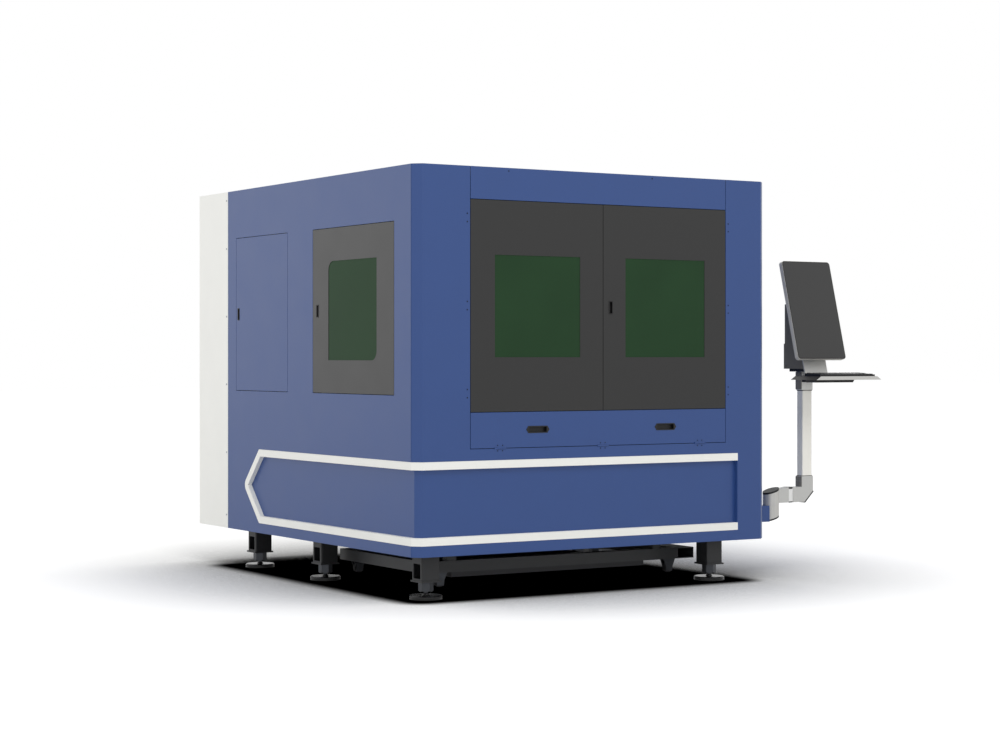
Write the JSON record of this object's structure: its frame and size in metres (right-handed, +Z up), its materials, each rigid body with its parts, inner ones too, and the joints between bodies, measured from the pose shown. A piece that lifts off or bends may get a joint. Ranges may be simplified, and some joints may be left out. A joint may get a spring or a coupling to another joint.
{
  "type": "fiber laser cutting machine",
  "caption": "Enclosed sheet-metal laser cutter: blue cabin with hinged window doors, slatted table and moving gantry, white equipment cabinet, levelling feet and a swinging operator arm.",
  "frame": {"origin": "on the floor, under the middle of the whole machine with its operator arm", "axes": "+X to the machine's right seen from its front, +Y to its back, +Z up"},
  "size_m": [2.7566, 2.7284, 2.099],
  "materials": {
    "blue_paint": "blue powder coat, semi-gloss",
    "white_paint": "white powder coat, semi-gloss",
    "dark_door_paint": "dark grey powder coat, semi-gloss",
    "frame_paint": "dark grey paint over welded tube",
    "zinc": "zinc-plated steel",
    "steel": "bare ground or cut steel",
    "aluminium": "machined and clear anodised",
    "arm_paint": "light grey powder coat on cast aluminium",
    "tray_paint": "black powder coat over folded sheet",
    "mount_paint": "dark grey powder coat over folded sheet",
    "black_plastic": "moulded, fine-grained",
    "screen_plastic": "moulded case with a dark glass front",
    "safety_glass": "dark green laser safety pane",
    "head_paint": "black anodised",
    "copper": "turned copper",
    "foot_steel": "dark painted cast pad",
    "wheel_rubber": "moulded, matt"
  },
  "bodies": {
    "machine": {"arm_bracket": "blue_paint", "arm_pivot": "arm_paint", "bed_frame": "frame_paint", "bed_rails": "steel", "castor_forks": "zinc", "drive_units": "black_plastic", "enclosure_frame": "frame_paint", "exhaust_collar": "zinc", "foot_nuts": "zinc", "foot_pads": "foot_steel", "foot_studs": "zinc", "front_panel": "blue_paint", "header_panel": "blue_paint", "hinge_brackets": "zinc", "laser_source": "white_paint", "left_panel": "blue_paint", "rear_bulkhead": "zinc", "rear_cabinet": "white_paint", "recess_panel": "blue_paint", "right_panel": "blue_paint", "roof_panel": "blue_paint", "scrap_tray": "frame_paint", "slats": "steel", "table_frame": "frame_paint", "transport_frame": "frame_paint", "trim_band": "white_paint"},
    "front_door_left": {"front_door_left": "dark_door_paint", "front_window_left": "safety_glass"},
    "front_door_right": {"front_door_right": "dark_door_paint", "front_window_right": "safety_glass", "front_door_pull": "black_plastic"},
    "front_flap": {"front_flap": "blue_paint", "flap_pulls": "black_plastic"},
    "side_door": {"side_door": "dark_door_paint", "side_window": "safety_glass", "side_door_pull": "black_plastic"},
    "service_door": {"service_door": "blue_paint", "service_door_pull": "black_plastic"},
    "rear_door_left": {"rear_door_left": "white_paint"},
    "rear_door_right": {"rear_door_right": "white_paint", "rear_door_pull": "black_plastic"},
    "castor_front_left": {"castor_wheel_front_left": "wheel_rubber"},
    "castor_front_right": {"castor_wheel_front_right": "wheel_rubber"},
    "castor_rear_left": {"castor_wheel_rear_left": "wheel_rubber"},
    "castor_rear_right": {"castor_wheel_rear_right": "wheel_rubber"},
    "gantry": {"gantry_beam": "aluminium", "gantry_blocks": "steel", "gantry_motors": "black_plastic", "gantry_rails": "steel"},
    "carriage": {"head_carriage": "aluminium"},
    "head": {"head_slide": "aluminium", "cutting_head": "head_paint", "nozzle": "copper"},
    "arm": {"swing_arm": "arm_paint", "arm_covers": "black_plastic"},
    "tray": {"tray_support": "arm_paint", "keyboard_tray": "tray_paint", "keyboard": "black_plastic", "monitor_mount": "mount_paint"},
    "screen": {"monitor": "screen_plastic"}
  },
  "joints": [
    {"name": "front_door_left_hinge", "type": "hinge", "parent": "machine", "child": "front_door_left", "pos_m": [-1.10925, -1.14725, 1.4225], "axis": [0, 0, 1], "range_deg": [-95, 0]},
    {"name": "front_door_right_hinge", "type": "hinge", "parent": "machine", "child": "front_door_right", "pos_m": [0.52175, -1.14725, 1.4225], "axis": [0, 0, 1], "range_deg": [0, 95]},
    {"name": "side_door_hinge", "type": "hinge", "parent": "machine", "child": "side_door", "pos_m": [-1.36275, -0.98975, 1.4105], "axis": [0, 0, 1], "range_deg": [0, 95]},
    {"name": "service_door_hinge", "type": "hinge", "parent": "machine", "child": "service_door", "pos_m": [-1.36275, 0.17725, 1.4105], "axis": [0, 0, 1], "range_deg": [0, 95]},
    {"name": "rear_door_left_hinge", "type": "hinge", "parent": "machine", "child": "rear_door_left", "pos_m": [-1.29525, 1.34875, 1.155], "axis": [0, 0, 1], "range_deg": [0, 95]},
    {"name": "rear_door_right_hinge", "type": "hinge", "parent": "machine", "child": "rear_door_right", "pos_m": [0.67675, 1.34875, 1.155], "axis": [0, 0, 1], "range_deg": [-95, 0]},
    {"name": "front_flap_hinge", "type": "hinge", "parent": "machine", "child": "front_flap", "pos_m": [-0.29375, -1.16125, 0.728], "axis": [1, 0, 0], "range_deg": [0, 160]},
    {"name": "castor_front_left_spin", "type": "hinge", "parent": "machine", "child": "castor_front_left", "pos_m": [-1.04575, -0.81425, 0.055], "axis": [0, 1, 0], "continuous": true},
    {"name": "castor_front_right_spin", "type": "hinge", "parent": "machine", "child": "castor_front_right", "pos_m": [0.36225, -0.81425, 0.055], "axis": [0, 1, 0], "continuous": true},
    {"name": "castor_rear_left_spin", "type": "hinge", "parent": "machine", "child": "castor_rear_left", "pos_m": [-1.04575, 0.03875, 0.055], "axis": [0, 1, 0], "continuous": true},
    {"name": "castor_rear_right_spin", "type": "hinge", "parent": "machine", "child": "castor_rear_right", "pos_m": [0.36225, 0.03875, 0.055], "axis": [0, 1, 0], "continuous": true},
    {"name": "gantry_travel", "type": "slide", "parent": "machine", "child": "gantry", "axis": [0, 1, 0], "range_m": [-1.4, 0]},
    {"name": "carriage_travel", "type": "slide", "parent": "gantry", "child": "carriage", "axis": [1, 0, 0], "range_m": [0, 1.3]},
    {"name": "head_lift", "type": "slide", "parent": "carriage", "child": "head", "axis": [0, 0, 1], "range_m": [-0.06, 0]},
    {"name": "arm_swing", "type": "hinge", "parent": "machine", "child": "arm", "pos_m": [0.91925, -0.99525, 0.377], "axis": [0, 0, 1], "range_deg": [-15, 90]},
    {"name": "tray_swivel", "type": "hinge", "parent": "arm", "child": "tray", "pos_m": [1.15325, -0.99525, 0.994], "axis": [0, 0, 1], "range_deg": [-15, 35]},
    {"name": "monitor_tilt", "type": "hinge", "parent": "tray", "child": "screen", "pos_m": [1.15325, -0.99139, 1.3845], "axis": [1, 0, 0], "range_deg": [-12, 5]}
  ]
}
